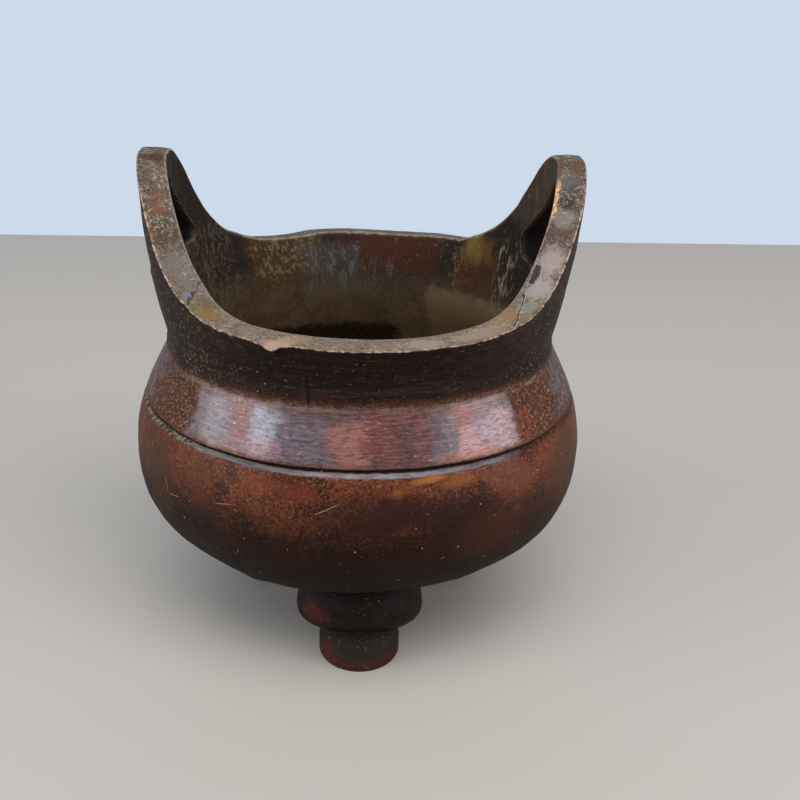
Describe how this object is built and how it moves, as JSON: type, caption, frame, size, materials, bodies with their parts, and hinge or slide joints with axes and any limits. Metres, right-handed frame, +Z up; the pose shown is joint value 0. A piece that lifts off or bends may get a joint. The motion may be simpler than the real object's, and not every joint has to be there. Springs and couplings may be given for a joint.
{
  "type": "tripod incense burner",
  "caption": "Round-bellied cast metal censer with a narrow neck, a lip that rises into pierced loop ears, and short splayed feet; open at the top to hold ash and burning incense.",
  "frame": {"origin": "on the table, under the middle of the bowl", "axes": "+Z up, the ears on +X and -X, the front foot towards -Y"},
  "size_m": [0.09, 0.09, 0.0959],
  "materials": {
    "body_patina": "dark red-brown patinated copper alloy, satin, brushed shoulder band, matte dark neck",
    "ear_patina": "grey-brown patinated copper alloy, satin, worn to bare metal along the edges",
    "foot_patina": "dark red-brown patinated copper alloy, satin, speckled"
  },
  "bodies": {
    "root": {"bowl": "body_patina", "ear_left": "ear_patina", "ear_right": "ear_patina", "foot_front": "foot_patina", "foot_rear_right": "foot_patina", "foot_rear_left": "foot_patina"}
  },
  "joints": []
}
